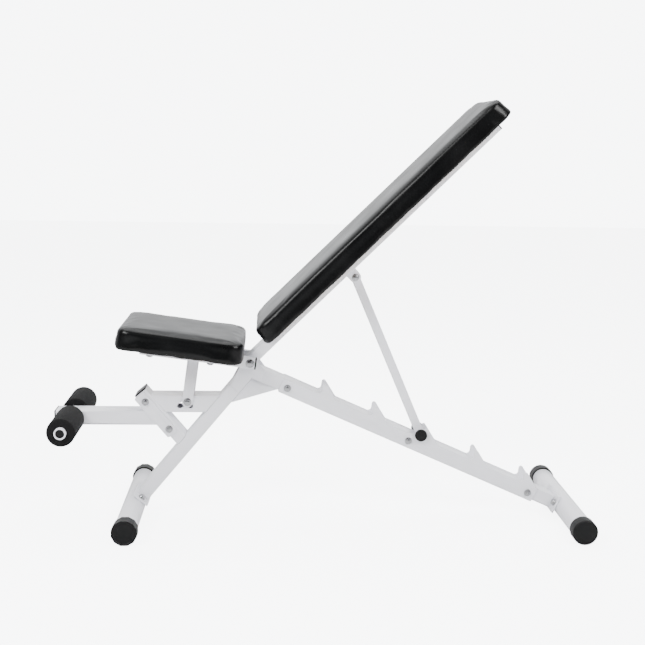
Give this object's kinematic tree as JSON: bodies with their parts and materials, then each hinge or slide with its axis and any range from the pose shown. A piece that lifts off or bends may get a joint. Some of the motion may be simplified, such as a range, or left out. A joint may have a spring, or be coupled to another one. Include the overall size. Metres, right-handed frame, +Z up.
{
  "type": "adjustable weight bench",
  "caption": "Folding-frame weight bench with a tilting seat, a back rest propped by a strut in a row of hooks, round feet and foam leg rollers.",
  "frame": {"origin": "on the floor, at the middle of the whole length and on the centre plane", "axes": "+X toward the rear foot and the top of the back rest, +Y across the bench, +Z up"},
  "size_m": [1.2136, 0.42, 0.9694],
  "materials": {
    "white_enamel": "gloss powder coat",
    "vinyl": "semi-gloss upholstery vinyl",
    "foam_rubber": "matte closed-cell foam",
    "foot_rubber": "fine moulded texture",
    "black_plastic": "moulded",
    "plywood": "raw",
    "zinc_steel": "bright zinc"
  },
  "bodies": {
    "frame": {"front_foot_tube": "white_enamel", "rear_foot_tube": "white_enamel", "front_foot_flange": "white_enamel", "rear_foot_flange": "white_enamel", "front_foot_cap_near": "foot_rubber", "front_foot_cap_far": "foot_rubber", "rear_foot_cap_near": "foot_rubber", "rear_foot_cap_far": "foot_rubber", "front_foot_bolt_near": "zinc_steel", "front_foot_bolt_far": "zinc_steel", "rear_foot_bolt_near": "zinc_steel", "rear_foot_bolt_far": "zinc_steel", "front_post": "white_enamel", "rear_beam": "white_enamel", "seat_beam": "white_enamel", "short_strut": "white_enamel", "short_strut_plug": "black_plastic", "roller_bracket": "white_enamel", "roller_arm": "white_enamel", "roller_arm_plug": "black_plastic", "corner_gusset": "white_enamel", "pivot_ear_near": "white_enamel", "pivot_ear_far": "white_enamel", "bracket_bolt_upper": "zinc_steel", "bracket_bolt_lower": "zinc_steel", "rack_channel": "white_enamel", "rack_bolt_1": "zinc_steel", "rack_bolt_2": "zinc_steel", "rack_bolt_3": "zinc_steel", "roller_tube": "white_enamel", "roller_tube_plug_near": "black_plastic", "roller_tube_plug_far": "black_plastic", "main_pivot_bolt": "zinc_steel"},
    "near_roller": {"foam_roller_near": "foam_rubber"},
    "far_roller": {"foam_roller_far": "foam_rubber"},
    "seat": {"seat_pad": "vinyl", "seat_board": "plywood", "seat_leg": "white_enamel", "seat_leg_bolt": "zinc_steel", "seat_rail_near": "white_enamel", "seat_rail_far": "white_enamel", "seat_rail_plug_near": "black_plastic", "seat_rail_plug_far": "black_plastic", "seat_screw_near_1": "zinc_steel", "seat_screw_near_2": "zinc_steel", "seat_screw_far_1": "zinc_steel", "seat_screw_far_2": "zinc_steel"},
    "back": {"back_tube": "white_enamel", "back_pad": "vinyl", "back_board": "plywood", "prop_bracket": "white_enamel", "prop_bolt": "zinc_steel", "back_tube_plug_lower": "black_plastic", "back_tube_plug_upper": "black_plastic", "back_screw_1": "zinc_steel", "back_screw_2": "zinc_steel"},
    "prop": {"prop_strut": "white_enamel", "hook_pin": "zinc_steel", "hook_pin_cap_near": "black_plastic", "hook_pin_cap_far": "black_plastic"}
  },
  "joints": [
    {"name": "back_hinge", "type": "hinge", "parent": "frame", "child": "back", "pos_m": [-0.16235, 0, 0.37], "axis": [0, -1, 0], "range_deg": [0, 40]},
    {"name": "prop_swing", "type": "hinge", "parent": "back", "child": "prop", "pos_m": [0.07447, 0, 0.56365], "axis": [0, -1, 0], "range_deg": [-40, 0]},
    {"name": "seat_tilt", "type": "hinge", "parent": "frame", "child": "seat", "pos_m": [-0.16235, 0, 0.37], "axis": [0, -1, 0], "range_deg": [0, 4]},
    {"name": "near_roller_spin", "type": "hinge", "parent": "frame", "child": "near_roller", "pos_m": [-0.56875, -0.09, 0.236], "axis": [0, 1, 0], "continuous": true},
    {"name": "far_roller_spin", "type": "hinge", "parent": "frame", "child": "far_roller", "pos_m": [-0.56875, 0.09, 0.236], "axis": [0, 1, 0], "continuous": true}
  ],
  "couplings": [
    {"joint": "prop_swing", "follows": "back_hinge", "ratio": -1}
  ]
}
